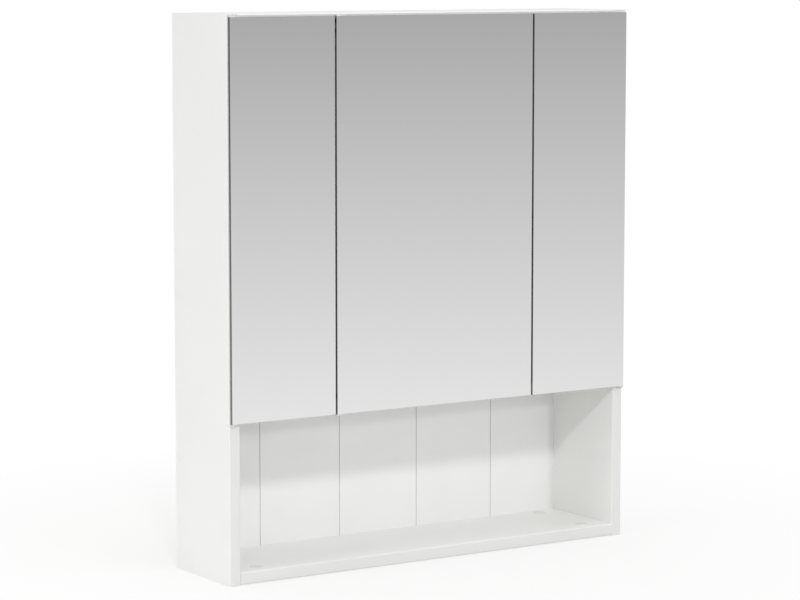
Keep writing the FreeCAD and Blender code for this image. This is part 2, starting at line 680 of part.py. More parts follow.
# Screws and nails
def headed(name, stem, head, direction, head_face):
    """A screw or nail along a direction, its stem and head given as radius and length from one face."""
    return fused(name, [
        bar("stem", stem[0], stem[1], direction, head_face),
        bar("head", head[0], head[1], direction, head_face),
    ])


bracket_screws = []
for x, z in [spot for door in DOORS for end in (UP, DOWN) for spot in leg_screws(door, end)]:
    spot = (x, front, z)
    stem = bar("stem", dim.leg_screw, dim.leg_screw_deep, (0, 1, 0), spot)
    head = countersink("head", dim.leg_head, dim.leg_screw, dim.bracket_thick, spot)
    bracket_screws.append(fused("screw", [stem, head]))
group("bracket_screws", bracket_screws)
nail_stem = (dim.nail_radius, dim.nail_long)
nail_cap = (dim.nail_head, dim.nail_head_thick)
group("back_nails", [headed("nail", nail_stem, nail_cap, (0, -1, 0), (x, back, z)) for x, z in nails])


# Wall brackets: steel angles in the upper outer corners, holed for the wall screws
def wall_bracket(label, side):
    left_face = -half + dim.board if side == LEFT else half - dim.board - dim.angle_leg
    corner = (left_face, panel_front - dim.angle_leg, angle_low)
    body = slab(label, (dim.angle_leg, dim.angle_leg, dim.angle_tall), corner)
    clear = dim.angle_leg - dim.angle_thick
    clear_x = dim.angle_thick if side == LEFT else ZERO
    cut(body, "z", 0, +1, dim.angle_tall, rectangle, (clear_x, ZERO), (clear, clear))
    hole_x = dim.wall_hole_in if side == LEFT else dim.angle_leg - dim.wall_hole_in
    cut(body, "y", clear, +1, dim.angle_thick, circles, [(hole_x, dim.angle_tall / 2)], dim.wall_hole)
    leg_face, inward = (dim.angle_thick, -1) if side == LEFT else (clear, +1)
    screws = [(dim.angle_leg / 2, z - angle_low) for z in angle_screw_z]
    cut(body, "x", leg_face, inward, dim.angle_thick, circles, screws, dim.angle_screw + dim.fit)


wall_bracket("wall_bracket_left", LEFT)
wall_bracket("wall_bracket_right", RIGHT)
angle_stem = (dim.angle_screw, dim.angle_screw_deep + dim.angle_thick + dim.angle_head_thick)
angle_cap = (dim.angle_head, dim.angle_head_thick)
angle_screws = []
for side in (LEFT, RIGHT):
    head_face = (half - dim.board - dim.angle_thick - dim.angle_head_thick) * side
    for z in angle_screw_z:
        spot = (head_face, front + angle_screw_y, z)
        angle_screws.append(headed("screw", angle_stem, angle_cap, (side, 0, 0), spot))
group("wall_bracket_screws", angle_screws)

# Every object is sound before anything is written
doc.recompute()
for obj in doc.Objects:
    if "Invalid" in obj.State or "Error" in obj.State:
        raise RuntimeError(f"{obj.Label} is {obj.State}")
for piece in pieces:
    if piece.Shape.isNull() or not piece.Shape.isValid():
        raise RuntimeError(f"{piece.Label} has no sound shape")
os.makedirs("parts", exist_ok=True)
for piece in pieces:
    piece.Shape.exportStep(os.path.join("parts", f"{piece.Label}.step"))
print(f"{len(pieces)} sub-parts written")
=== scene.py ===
import json
import math

import bmesh
import bpy
from mathutils import Matrix, Vector

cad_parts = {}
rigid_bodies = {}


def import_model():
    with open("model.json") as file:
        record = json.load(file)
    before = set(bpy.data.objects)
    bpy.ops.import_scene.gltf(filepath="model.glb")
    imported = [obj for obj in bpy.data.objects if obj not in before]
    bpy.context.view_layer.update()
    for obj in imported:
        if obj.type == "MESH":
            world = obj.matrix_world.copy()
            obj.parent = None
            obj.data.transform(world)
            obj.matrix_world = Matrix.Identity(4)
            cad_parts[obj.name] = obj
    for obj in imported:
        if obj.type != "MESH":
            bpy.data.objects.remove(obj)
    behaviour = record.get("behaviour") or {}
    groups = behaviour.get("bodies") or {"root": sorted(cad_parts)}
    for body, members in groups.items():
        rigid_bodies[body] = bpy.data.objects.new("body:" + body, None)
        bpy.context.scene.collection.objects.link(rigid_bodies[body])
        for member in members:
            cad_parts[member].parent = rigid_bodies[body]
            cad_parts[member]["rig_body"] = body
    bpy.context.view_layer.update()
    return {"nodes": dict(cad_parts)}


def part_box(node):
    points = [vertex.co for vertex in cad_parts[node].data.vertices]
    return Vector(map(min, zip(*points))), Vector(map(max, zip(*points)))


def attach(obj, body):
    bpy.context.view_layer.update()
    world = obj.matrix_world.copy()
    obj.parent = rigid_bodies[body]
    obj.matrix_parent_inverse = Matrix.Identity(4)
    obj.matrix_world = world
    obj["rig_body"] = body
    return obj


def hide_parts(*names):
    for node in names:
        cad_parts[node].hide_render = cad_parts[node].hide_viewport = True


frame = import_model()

# Side panels: two full-height chipboard panels faced with white satin foil. Their front faces and the front
# of their rounded edges get a greyer white, which is painted shade. Their back edges, the rebates for the
# back sheet and the bores are raw board.
FOIL_WHITES = ((0.885, 0.885, 0.873), (0.90, 0.90, 0.888))
# A greyer white on faces turned to the front: painted shade
FRONT_SHADE_WHITES = ((0.725, 0.725, 0.722), (0.74, 0.74, 0.737))
FOIL_SURFACE = {"cloud": 0.11, "gloss": (0.36, 0.46), "patch": 0.017, "grain": 0.00067, "relief": 0.000012}
CHIP_TONES = ((0.30, 0.21, 0.13), (0.60, 0.46, 0.30))
CHIP_LONG = 0.0019
CHIP_RELIEF = 0.0003
CHIP_ROUGHNESS = 0.85
# How squarely a face has to look forwards, for the painted shade, or backwards, for raw board, as a cosine
FRONT_SHADE_TURN = 0.6
RAW_TURN = 0.9
RAW_DEPTH = 0.0008
CLOUD_DETAIL = 3.0
SHARP_ANGLE = math.radians(30)
MERGE_GAP = 1e-6


def plug(tree, node, inputs):
    """Fills a node's inputs, by name or number, from sockets, lists of sockets or plain values."""
    for key, value in inputs.items():
        if isinstance(value, (bpy.types.NodeSocket, list)):
            for socket in value if isinstance(value, list) else [value]:
                tree.links.new(socket, node.inputs[key])
        else:
            node.inputs[key].default_value = value


def grow(tree, kind, inputs=None, **settings):
    """Adds a node to a tree and gives its outputs."""
    node = tree.nodes.new(kind)
    for key, value in settings.items():
        setattr(node, key, value)
    plug(tree, node, inputs or {})
    return node.outputs


class Finish:
    """A procedural material in the making, patterned in the object's own metres."""

    NOISE_MIDDLE = (0.3, 0.7)
    TONE_STOPS = (0.35, 0.65)

    def __init__(self, name):
        self.material = bpy.data.materials.new(name)
        self.material.use_nodes = True
        self.tree = self.material.node_tree
        self.shader = self.tree.nodes["Principled BSDF"]
        self.place = grow(self.tree, "ShaderNodeTexCoord")["Object"]

    def shade(self, inputs):
        """Fills the shader's inputs."""
        plug(self.tree, self.shader, inputs)

    def speckle(self, grain, detail=2.0, coarse=0.5, place=None):
        """A noise pattern from 0 to 1 with patches about one grain across."""
        inputs = {"Vector": place or self.place, "Scale": 1 / grain, "Detail": detail, "Roughness": coarse}
        return grow(self.tree, "ShaderNodeTexNoise", inputs)["Fac"]

    def spread(self, pattern, low, high):
        """Maps the middle of a noise pattern to a range."""
        start, end = self.NOISE_MIDDLE
        inputs = {"Value": pattern, "From Min": start, "From Max": end, "To Min": low, "To Max": high}
        return grow(self.tree, "ShaderNodeMapRange", inputs)["Result"]

    def two_tone(self, pattern, first, second):
        """Colours a pattern from a first to a second tone."""
        colour = grow(self.tree, "ShaderNodeValToRGB", {"Fac": pattern})["Color"]
        for stop, at, tone in zip(colour.node.color_ramp.elements, self.TONE_STOPS, (first, second)):
            stop.position = at
            stop.color = (*tone, 1)
        return colour

    def raised(self, pattern, relief):
        """The surface normal of a pattern that stands up by the given relief."""
        inputs = {"Height": pattern, "Strength": 1.0, "Distance": relief}
        return grow(self.tree, "ShaderNodeBump", inputs)["Normal"]


def coat(name, tones, cloud, gloss, patch, grain, relief, metallic=0.0):
    """A coating or plating: clouded between two tones, patchy in gloss, with a fine raised grain."""
    finish = Finish(name)
    finish.shade({
        "Base Color": finish.two_tone(finish.speckle(cloud, CLOUD_DETAIL), *tones),
        "Roughness": finish.spread(finish.speckle(patch), *gloss),
        "Normal": finish.raised(finish.speckle(grain), relief),
        "Metallic": metallic,
    })
    return finish.material


def make_raw_chipboard():
    """Cut chipboard: pressed pale and dark chips, about two millimetres long."""
    raw = Finish("raw_chipboard")
    chips = grow(raw.tree, "ShaderNodeTexVoronoi", {"Vector": raw.place, "Scale": 1 / CHIP_LONG})
    chip = grow(raw.tree, "ShaderNodeSeparateColor", {"Color": chips["Color"]})["Red"]
    raw.shade({
        "Base Color": raw.two_tone(chip, *CHIP_TONES),
        "Roughness": CHIP_ROUGHNESS,
        "Normal": raw.raised(chips["Distance"], CHIP_RELIEF),
    })
    return raw.material


def merged_form(node):
    """A CAD node's mesh with its loose triangles joined."""
    form = bmesh.new()
    form.from_mesh(frame["nodes"][node].data)
    bmesh.ops.remove_doubles(form, verts=form.verts, dist=MERGE_GAP)
    return form


def new_piece(form, name, finishes):
    """Makes an object of a mesh form, with its finishes in order."""
    mesh = bpy.data.meshes.new(name)
    form.to_mesh(mesh)
    form.free()
    for finish in finishes:
        mesh.materials.append(finish)
    piece = bpy.data.objects.new(name, mesh)
    bpy.context.scene.collection.objects.link(piece)
    return piece


def stand_for(piece, node):
    """Lets a finished piece take a CAD node's place and body."""
    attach(piece, frame["nodes"][node]["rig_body"])
    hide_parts(node)


def dressed_copy(node, name, finishes, choose=lambda face: 0):
    """A smooth copy of a CAD node, with a finish chosen for each face."""
    form = merged_form(node)
    form.normal_update()
    for face in form.faces:
        face.smooth = True
        face.material_index = choose(face)
    for edge in form.edges:
        edge.smooth = len(edge.link_faces) == 2 and edge.calc_face_angle() < SHARP_ANGLE
    stand_for(new_piece(form, name, finishes), node)


board_finishes = [
    coat("white_foil", FOIL_WHITES, **FOIL_SURFACE),
    # Painted shade for faces turned to the front
    coat("front_edge_painted_shade", FRONT_SHADE_WHITES, **FOIL_SURFACE),
    make_raw_chipboard(),
]
FOIL, FRONT_SHADE, RAW = range(len(board_finishes))


def board(node):
    """Faces a board: painted shade over the front edge, raw chipboard behind and in bores, foil elsewhere."""
    low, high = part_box(node)

    def choose(face):
        centre = face.calc_center_median()
        depth_in = min(min(centre[i] - low[i], high[i] - centre[i]) for i in range(3))
        if face.normal.y > RAW_TURN or depth_in > RAW_DEPTH:
            return RAW
        # Faces turned to the front get the painted shade
        return FRONT_SHADE if face.normal.y < -FRONT_SHADE_TURN else FOIL

    dressed_copy(node, f"{node}_faced", board_finishes, choose)


for node in ("side_panel_left", "side_panel_right"):
    board(node)

# Cross boards and partitions: niche floor, niche ceiling and top between the sides, and the two uprights
# behind the door splits. They are cut from the same foiled board: cam locks draw the cross boards up to the
# sides, and the uprights stand on dowels.
for node in ("niche_floor", "niche_ceiling", "top_board", "partition_left", "partition_right"):
    board(node)

# Back sheet: thin hardboard, white lacquer on the face with upright grooves, bare brown at the back. The
# walls of the grooves get a greyer white, which is painted shade. It lies in the rebates of the sides and is
# nailed to every board.
LACQUER_WHITES = ((0.873, 0.873, 0.863), (0.888, 0.888, 0.878))
# A greyer white down the walls of the grooves: painted shade
GROOVE_SHADE_WHITES = ((0.79, 0.79, 0.775), (0.84, 0.84, 0.825))
LACQUER_SURFACE = {"cloud": 0.07, "gloss": (0.42, 0.52), "patch": 0.0125, "grain": 0.0011, "relief": 0.00001}
FIBRE_TONES = ((0.24, 0.14, 0.075), (0.36, 0.22, 0.12))
FIBRE_LONG = 0.0024
FIBRE_DETAIL = 6.0
FIBRE_COARSE = 0.7
DULL_FIBRE = (0.30, 0.19, 0.11)
DULL_PATCH = 0.14
DULL_DETAIL = 4.0
DULL_SHARE = 0.6
FIBRE_GLOSS = (0.6, 0.78)
FIBRE_GLOSS_PATCH = 0.011
SCREEN_MESH = 0.0018
SCREEN_RELIEF = 0.0001
# Waves in a metre of a wave texture of scale 1
WAVES_PER_SCALE = 10 / math.pi
# Numbers of the sockets that a colour mix uses
MIX_FACTOR, MIX_FIRST, MIX_SECOND, MIX_RESULT = 0, 6, 7, 2
# Faces turned to the room less squarely than FACE_TURN but more than this, the grooves' walls, get the
# painted shade
GROOVE_SHADE_TURN = 0.2
FACE_TURN = 0.9


def make_hardboard():
    """Pressed brown fibre: a fine fleck, dull patches, and the print of the wire screen it was pressed on."""
    sheet = Finish("bare_hardboard")
    fleck = sheet.two_tone(sheet.speckle(FIBRE_LONG, FIBRE_DETAIL, FIBRE_COARSE), *FIBRE_TONES)
    dull = sheet.spread(sheet.speckle(DULL_PATCH, DULL_DETAIL), 0.0, DULL_SHARE)
    tones = {MIX_FACTOR: dull, MIX_FIRST: fleck, MIX_SECOND: (*DULL_FIBRE, 1)}
    patchy = grow(sheet.tree, "ShaderNodeMix", tones, data_type="RGBA")[MIX_RESULT]
    wave = {"Vector": sheet.place, "Scale": 1 / (WAVES_PER_SCALE * SCREEN_MESH)}
    wires = [grow(sheet.tree, "ShaderNodeTexWave", wave, bands_direction=way)["Fac"] for way in "XZ"]
    screen = grow(sheet.tree, "ShaderNodeMath", dict(enumerate(wires)), operation="MAXIMUM")["Value"]
    sheet.shade({
        "Base Color": patchy,
        "Roughness": sheet.spread(sheet.speckle(FIBRE_GLOSS_PATCH), *FIBRE_GLOSS),
        "Normal": sheet.raised(screen, SCREEN_RELIEF),
    })
    return sheet.material


sheet_finishes = [
    coat("white_lacquer", LACQUER_WHITES, **LACQUER_SURFACE),
    # Painted shade down the grooves
    coat("painted_shade_in_grooves", GROOVE_SHADE_WHITES, **LACQUER_SURFACE),
    make_hardboard(),
]
LACQUER, GROOVE_SHADE, BARE = range(len(sheet_finishes))


def sheet_finish(face):
    """Lacquer on the face, painted shade down the grooves, bare board behind and at the edges."""
    toward_room = -face.normal.y
    # The grooves' walls get the painted shade
    return LACQUER if toward_room > FACE_TURN else GROOVE_SHADE if toward_room > GROOVE_SHADE_TURN else BARE


dressed_copy("back_panel", "back_panel_sheet", sheet_finishes, sheet_finish)

# Cam locks, cam bolts and dowels: die-cast drums, plated bolts and fluted beech pegs inside the boards.
# They hold the carcass together and are hidden once it stands.
ZINC_TONES = ((0.46, 0.47, 0.49), (0.58, 0.59, 0.61))
STEEL_TONES = ((0.56, 0.56, 0.57), (0.66, 0.66, 0.67))
ZINC_GLOSS = (0.35, 0.5)
STEEL_GLOSS = (0.22, 0.36)
METAL_SURFACE = {"cloud": 0.006, "patch": 0.0014, "grain": 0.00056, "relief": 0.000004, "metallic": 1.0}
BEECH_TONES = ((0.55, 0.37, 0.22), (0.66, 0.47, 0.30))
BEECH_PORE = 0.0011
BEECH_DETAIL = 3.0
BEECH_STRETCH = (0.2, 1.0, 1.0)
BEECH_ROUGHNESS = 0.6
DOWEL_LEAD = 0.0009
FLUTE_SHARE = 0.93
TURNED_SIDES = 32
SORT_DIGITS = 5


def make_beech():
    """Beech: fine pores drawn out along the grain."""
    beech = Finish("beech")
    drawn = grow(beech.tree, "ShaderNodeMapping", {"Vector": beech.place, "Scale": BEECH_STRETCH})["Vector"]
    pores = beech.speckle(BEECH_PORE, BEECH_DETAIL, place=drawn)
    beech.shade({"Base Color": beech.two_tone(pores, *BEECH_TONES), "Roughness": BEECH_ROUGHNESS})
    return beech.material


die_cast = coat("die_cast_zinc", ZINC_TONES, gloss=ZINC_GLOSS, **METAL_SURFACE)
plated_steel = coat("plated_steel", STEEL_TONES, gloss=STEEL_GLOSS, **METAL_SURFACE)
dressed_copy("cam_locks", "cam_locks_set", [die_cast])
dressed_copy("cam_bolts", "cam_bolts_set", [plated_steel])


def solids_of(node):
    """The lowest and highest corners of each separate solid in a CAD node."""
    form = merged_form(node)
    left = set(form.verts)
    boxes = []
    while left:
        reached = [left.pop()]
        for vert in reached:
            near = {edge.other_vert(vert) for edge in vert.link_edges} & left
            left -= near
            reached.extend(near)
        places = [vert.co for vert in reached]
        low = Vector(min(place[i] for place in places) for i in range(3))
        high = Vector(max(place[i] for place in places) for i in range(3))
        boxes.append((low, high))
    form.free()
    return sorted(boxes, key=lambda box: tuple(round(coordinate, SORT_DIGITS) for coordinate in box[0]))


def middle_of(low, high, **fixed):
    """The middle of a solid's box, with some coordinates given."""
    centre = (low + high) / 2
    return Vector(fixed.get(axis, centre[i]) for i, axis in enumerate("xyz"))


def turned_form(tree, given, rings):
    """Raises a turned form ring by ring from a flat foot; each ring has a radius and a rise."""
    foot, *upper = rings
    circle = {"Vertices": TURNED_SIDES, "Radius": given[f"{foot} radius"]}
    stack = grow(tree, "GeometryNodeMeshCircle", circle, fill_type="NGON")["Mesh"]
    underside = grow(tree, "GeometryNodeFlipFaces", {"Mesh": stack})["Mesh"]
    below = foot
    top = True
    for ring in upper:
        lift = {"Mesh": stack, "Selection": top, "Individual": False, "Offset Scale": given[f"{ring} rise"]}
        raised = grow(tree, "GeometryNodeExtrudeMesh", lift, mode="FACES")
        radii = {0: given[f"{ring} radius"], 1: given[f"{below} radius"]}
        ratio = grow(tree, "ShaderNodeMath", radii, operation="DIVIDE")["Value"]
        top = raised["Top"]
        scaled = {"Geometry": raised["Mesh"], "Selection": top, "Scale": ratio}
        stack = grow(tree, "GeometryNodeScaleElements", scaled, domain="FACE")["Geometry"]
        below = ring
    closed = grow(tree, "GeometryNodeJoinGeometry", {"Geometry": [stack, underside]})["Geometry"]
    return grow(tree, "GeometryNodeMergeByDistance", {"Geometry": closed, "Distance": MERGE_GAP})["Geometry"]


def flute(tree, given, form):
    """Presses lengthwise flutes into a turned form, one at every second side."""
    place = grow(tree, "GeometryNodeInputPosition")["Position"]
    side = grow(tree, "ShaderNodeSeparateXYZ", {"Vector": place})
    turn = grow(tree, "ShaderNodeMath", {0: side["Y"], 1: side["X"]}, operation="ARCTAN2")["Value"]
    turns = grow(tree, "ShaderNodeMath", {0: turn, 1: TURNED_SIDES / 2}, operation="MULTIPLY")["Value"]
    wave = grow(tree, "ShaderNodeMath", {0: turns}, operation="COSINE")["Value"]
    depth = {"Value": wave, "From Min": -1.0, "From Max": 1.0, "To Min": given["flute_share"], "To Max": 1.0}
    share = grow(tree, "ShaderNodeMapRange", depth)["Result"]
    shares = grow(tree, "ShaderNodeCombineXYZ", {"X": share, "Y": share, "Z": 1.0})["Vector"]
    pressed = grow(tree, "ShaderNodeVectorMath", {0: place, 1: shares}, operation="MULTIPLY")["Vector"]
    return grow(tree, "GeometryNodeSetPosition", {"Geometry": form, "Position": pressed})["Geometry"]


def turned_tree(name, rings, extra, carve, finish):
    """A tree that turns and carves a form, keeps its sharp edges crisp and sets it on facing points."""
    tree = bpy.data.node_groups.new(name, "GeometryNodeTree")
    tree.interface.new_socket("Points", in_out="INPUT", socket_type="NodeSocketGeometry")
    tree.interface.new_socket("Pieces", in_out="OUTPUT", socket_type="NodeSocketGeometry")
    for label in [f"{ring} {size}" for ring in rings for size in ("radius", "rise")] + list(extra):
        tree.interface.new_socket(label, in_out="INPUT", socket_type="NodeSocketFloat")
    given = grow(tree, "NodeGroupInput")
    form = turned_form(tree, given, rings)
    if carve:
        form = carve(tree, given, form)
    smooth = {"Geometry": form, "Shade Smooth": True}
    form = grow(tree, "GeometryNodeSetShadeSmooth", smooth, domain="FACE")["Geometry"]
    angle = grow(tree, "GeometryNodeInputMeshEdgeAngle")["Unsigned Angle"]
    limit = {"A": angle, "B": SHARP_ANGLE}
    sharp = grow(tree, "FunctionNodeCompare", limit, operation="GREATER_THAN")["Result"]
    crisp = {"Geometry": form, "Selection": sharp, "Shade Smooth": False}
    form = grow(tree, "GeometryNodeSetShadeSmooth", crisp, domain="EDGE")["Geometry"]
    named = {"Name": "facing"}
    facing = grow(tree, "GeometryNodeInputNamedAttribute", named, data_type="FLOAT_VECTOR")["Attribute"]
    turn = grow(tree, "FunctionNodeAlignRotationToVector", {"Vector": facing}, axis="Z")["Rotation"]
    stood = {"Points": given["Points"], "Instance": form, "Rotation": turn}
    placed = grow(tree, "GeometryNodeInstanceOnPoints", stood)["Instances"]
    plain = grow(tree, "GeometryNodeRealizeInstances", {"Geometry": placed})["Geometry"]
    dressed = grow(tree, "GeometryNodeSetMaterial", {"Geometry": plain, "Material": finish})["Geometry"]
    tree.links.new(dressed, tree.nodes.new("NodeGroupOutput").inputs["Pieces"])
    return tree


def turned_set(node, name, finish, rings, stand, carve=None, **extra):
    """Replaces a CAD node's solids by turned pieces; stand gives a solid's foot and the way it faces."""
    feet = [stand(low, high) for low, high in solids_of(node)]
    mesh = bpy.data.meshes.new(name)
    mesh.from_pydata([foot for foot, facing in feet], [], [])
    ways = mesh.attributes.new("facing", "FLOAT_VECTOR", "POINT")
    for item, (foot, facing) in zip(ways.data, feet):
        item.vector = facing
    piece = bpy.data.objects.new(name, mesh)
    bpy.context.scene.collection.objects.link(piece)
    maker = piece.modifiers.new("turned", "NODES")
    maker.node_group = turned_tree(f"{name}_tree", rings, extra, carve, finish)
    sizes = dict(extra)
    for ring, (radius, rise) in rings.items():
        sizes[f"{ring} radius"] = radius
        sizes[f"{ring} rise"] = rise
    for socket in maker.node_group.interface.items_tree:
        if socket.name in sizes:
            maker[socket.identifier] = float(sizes[socket.name])
    bpy.context.view_layer.update()
    made = piece.evaluated_get(bpy.context.evaluated_depsgraph_get())
    piece.data = bpy.data.meshes.new_from_object(made)
    piece.data.name = name
    piece.modifiers.clear()
    stand_for(piece, node)


dowel_low, dowel_high = solids_of("dowels")[0]
dowel_long, dowel_wide = max(dowel_high - dowel_low), min(dowel_high - dowel_low)


def stand_dowel(low, high):
    """Stands a dowel on its lower end, along the longest side of its box."""
    sizes = list(high - low)
    along = sizes.index(max(sizes))
    return middle_of(low, high, **{"xyz"[along]: low[along]}), [float(i == along) for i in range(3)]


turned_set("dowels", "dowels_set", make_beech(), {
    "Tip": (dowel_wide / 2 - DOWEL_LEAD, 0),
    "Lead": (dowel_wide / 2, DOWEL_LEAD),
    "Shank": (dowel_wide / 2, dowel_long - 2 * DOWEL_LEAD),
    "End": (dowel_wide / 2 - DOWEL_LEAD, DOWEL_LEAD),
}, stand_dowel, flute, flute_share=FLUTE_SHARE)

# Cam caps: pressed white plastic discs with a rounded rim, pushed over the cam locks on the niche floor,
# on the niche ceiling inside the cupboards and under the top board.
CAP_WHITES = ((0.77, 0.77, 0.755), (0.80, 0.80, 0.785))
CAP_GLOSS = (0.38, 0.5)
PLASTIC_SURFACE = {"cloud": 0.0045, "patch": 0.002, "grain": 0.0004, "relief": 0.000005}
CAP_ROUND_IN = 0.0017
CAP_ROUND_UP = 0.0005
TOUCH = 1e-4
ROUND_STEPS = 3


def rounded(label, radius, inward, upward):
    """Rings of a turned edge that rounds off from a wall of this radius to a flat end."""
    angles = [math.pi / 2 * step / ROUND_STEPS for step in range(ROUND_STEPS + 1)]
    return {
        f"{label} {step + 1}": (
            radius - inward * (1 - math.cos(end)),
            upward * (math.sin(end) - math.sin(start)),
        )
        for step, (start, end) in enumerate(zip(angles, angles[1:]))
    }


def rimmed(radius, rise, inward, upward):
    """Rings of a turned disc or rod with a flat foot and a rounded rim."""
    return {
        "Foot": (radius, 0),
        "Wall": (radius, rise - upward),
        **rounded("Rim", radius, inward, upward),
    }


cap_plastic = coat("cap_plastic", CAP_WHITES, gloss=CAP_GLOSS, **PLASTIC_SURFACE)
cap_low, cap_high = solids_of("cam_caps")[0]
cap_radius = (cap_high.x - cap_low.x) / 2
cap_rise = cap_high.z - cap_low.z
top_board_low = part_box("top_board")[0].z


def stand_cap(low, high):
    """Hangs a cap under the top board, or lays it on the board below."""
    hangs = abs(high.z - top_board_low) < TOUCH
    return middle_of(low, high, z=high.z if hangs else low.z), (0, 0, -1 if hangs else 1)


cap_rings = rimmed(cap_radius, cap_rise, CAP_ROUND_IN, CAP_ROUND_UP)
turned_set("cam_caps", "cam_cap_set", cap_plastic, cap_rings, stand_cap)

# Back nails: flat-headed plated wire nails, driven from behind through the back sheet into the boards, with
# their heads flush with the sheet.
NAIL_STEM_RADIUS = 0.0008
NAIL_TIP_RADIUS = 0.0001
NAIL_POINT_LONG = 0.002
NAIL_HEAD_RISE = 0.0008
NAIL_ROUND = 0.00025
nail_low, nail_high = solids_of("back_nails")[0]
nail_head_radius = (nail_high.x - nail_low.x) / 2
nail_long = nail_high.y - nail_low.y


def face_wall(low, high):
    """Stands a turned piece on its front end, facing the wall."""
    return middle_of(low, high, y=low.y), (0, 1, 0)


turned_set("back_nails", "back_nail_set", plated_steel, {
    "Tip": (NAIL_TIP_RADIUS, 0),
    "Point": (NAIL_STEM_RADIUS, NAIL_POINT_LONG),
    "Stem": (NAIL_STEM_RADIUS, nail_long - NAIL_HEAD_RISE - NAIL_POINT_LONG),
    "Collar": (nail_head_radius, 0),
    "Head": (nail_head_radius, NAIL_HEAD_RISE - NAIL_ROUND),
    **rounded("Rim", nail_head_radius, NAIL_ROUND, NAIL_ROUND),
}, face_wall)

# Wall brackets: bent plated steel angles in the upper outer corners, each held to its side panel by two
# pan-head screws with a cross recess, and holed for the wall screw.
PAN_STEM_RADIUS = 0.00175
PAN_TIP_RADIUS = 0.0002
PAN_POINT_LONG = 0.0035
PAN_HEAD_RISE = 0.0018
PAN_CROWN_RISE = 0.0011
PAN_CROWN_IN = 0.0014
# Shares of the head; the cutting cross is centred on the end, so half its depth cuts
CROSS_SHARE = {"length": 1.0, "width": 0.22, "depth": 1.2}
for node in ("wall_bracket_left", "wall_bracket_right"):
    dressed_copy(node, f"{node}_angle", [plated_steel])
pan_low, pan_high = solids_of("wall_bracket_screws")[0]
pan_head_radius = (pan_high.z - pan_low.z) / 2
pan_long = pan_high.x - pan_low.x


def cross_recess(head, rise, height):
    """Sizes of a cross as long as the head's radius and a little over half as deep as the head."""
    return {
        "cross_length": head * CROSS_SHARE["length"],
        "cross_width": head * CROSS_SHARE["width"],
        "cross_depth": rise * CROSS_SHARE["depth"],
        "cross_height": height,
    }


def cut_cross(tree, given, form):
    """Cuts a cross recess into the end of a turned form."""
    arms = []
    for along, aside in (("cross_length", "cross_width"), ("cross_width", "cross_length")):
        sides = {"X": given[along], "Y": given[aside], "Z": given["cross_depth"]}
        size = grow(tree, "ShaderNodeCombineXYZ", sides)["Vector"]
        arm = grow(tree, "GeometryNodeMeshCube", {"Size": size})["Mesh"]
        place = grow(tree, "ShaderNodeCombineXYZ", {"Z": given["cross_height"]})["Vector"]
        arms += [grow(tree, "GeometryNodeTransform", {"Geometry": arm, "Translation": place})["Geometry"]]
    cut = {"Mesh 1": form, "Mesh 2": arms, "Self Intersection": True}
    return grow(tree, "GeometryNodeMeshBoolean", cut, operation="DIFFERENCE", solver="EXACT")["Mesh"]


def stand_pan_screw(low, high):
    """Stands a screw tip first in its side panel, with its head towards the middle."""
    left = high.x < 0
    return middle_of(low, high, x=low.x if left else high.x), (1 if left else -1, 0, 0)


turned_set("wall_bracket_screws", "wall_bracket_screw_set", plated_steel, {
    "Tip": (PAN_TIP_RADIUS, 0),
    "Point": (PAN_STEM_RADIUS, PAN_POINT_LONG),
    "Stem": (PAN_STEM_RADIUS, pan_long - PAN_HEAD_RISE - PAN_POINT_LONG),
    "Collar": (pan_head_radius, 0),
    "Head": (pan_head_radius, PAN_HEAD_RISE - PAN_CROWN_RISE),
    **rounded("Crown", pan_head_radius, PAN_CROWN_IN, PAN_CROWN_RISE),
}, stand_pan_screw, cut_cross, **cross_recess(pan_head_radius, PAN_HEAD_RISE, pan_long))

# Shelves: thinner foiled boards, edged in front and at the ends, with painted shade on the front faces like
# the other boards. Each lies on four nickel-plated pins with round noses, pushed into the rows of shelf
# holes.
NICKEL_TONES = ((0.68, 0.66, 0.63), (0.74, 0.72, 0.69))
NICKEL_GLOSS = (0.14, 0.24)
SHANK_RADIUS = 0.0025
SHANK_LONG = 0.006
SHANK_LEAD = 0.0005
PEG_ROUND = 0.0011
for bay in ("left", "centre", "right"):
    for level in ("lower", "upper"):
        board(f"{bay}_{level}_shelf")
nickel = coat("nickel_plate", NICKEL_TONES, gloss=NICKEL_GLOSS, **METAL_SURFACE)
pin_low, pin_high = solids_of("shelf_pins")[0]
peg_radius = (pin_high.z - pin_low.z) / 2
peg_long = pin_high.x - pin_low.x - SHANK_LONG
faces_right = [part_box(node)[1].x for node in ("side_panel_left", "partition_left", "partition_right")]


def stand_shelf_pin(low, high):
    """Stands a pin tip first in the panel or partition that holds it."""
    right = any(abs(low.x + SHANK_LONG - face) < TOUCH for face in faces_right)
    return middle_of(low, high, x=low.x if right else high.x), (1 if right else -1, 0, 0)


turned_set("shelf_pins", "shelf_pin_set", nickel, {
    "Tip": (SHANK_RADIUS - SHANK_LEAD, 0),
    "Lead": (SHANK_RADIUS, SHANK_LEAD),
    "Shank": (SHANK_RADIUS, SHANK_LONG - SHANK_LEAD),
    "Collar": (peg_radius, 0),
    "Peg": (peg_radius, peg_long - PEG_ROUND),
    **rounded("Nose", peg_radius, PEG_ROUND, PEG_ROUND),
}, stand_shelf_pin)

